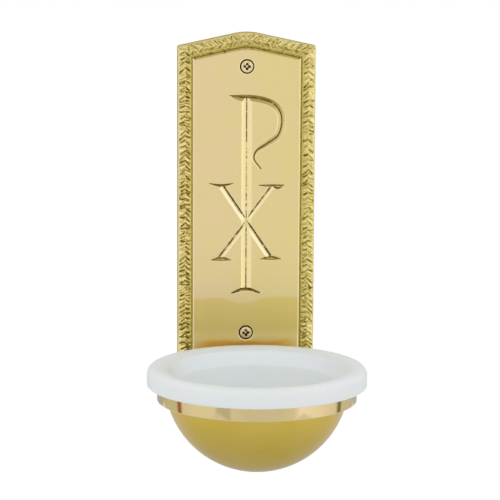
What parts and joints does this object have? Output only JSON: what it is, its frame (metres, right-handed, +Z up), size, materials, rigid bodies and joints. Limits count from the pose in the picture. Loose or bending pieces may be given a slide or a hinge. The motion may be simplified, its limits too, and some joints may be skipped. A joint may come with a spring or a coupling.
{
  "type": "holy water stoup",
  "caption": "Wall-hung holy water stoup: gabled cast brass back plate with chased border and incised Chi-Rho, brass bowl in a polished rim band, and a lift-out white liner.",
  "frame": {"origin": "on the rear face of the back plate, on its centre line, midway between the two wall screws", "axes": "+Z up the plate, +Y into the wall, +X to the right seen from the room"},
  "size_m": [0.1476, 0.1941, 0.2892],
  "materials": {
    "cast_brass": "satin-polished sand casting, lacquered",
    "satin_brass": "spun and satin brushed",
    "polished_brass": "turned and polished",
    "screw_brass": "plated, dull",
    "zinc_steel": "zinc plated",
    "milk_white": "moulded, milky, slightly translucent"
  },
  "bodies": {
    "stoup": {"back_plate": "cast_brass", "wall_screw_upper": "screw_brass", "wall_screw_lower": "screw_brass", "bowl_bracket": "cast_brass", "bracket_screw_left": "zinc_steel", "bracket_screw_right": "zinc_steel", "bracket_lock_washer_left": "zinc_steel", "bracket_lock_washer_right": "zinc_steel", "rim_band": "polished_brass", "bowl_shell": "satin_brass", "bowl_screw_left": "screw_brass", "bowl_screw_right": "screw_brass", "bowl_washer_left": "screw_brass", "bowl_washer_right": "screw_brass"},
    "liner": {"liner": "milk_white"}
  },
  "joints": [
    {"name": "liner_lift", "type": "slide", "parent": "stoup", "child": "liner", "axis": [0, 0, 1], "range_m": [0, 0.06]}
  ]
}
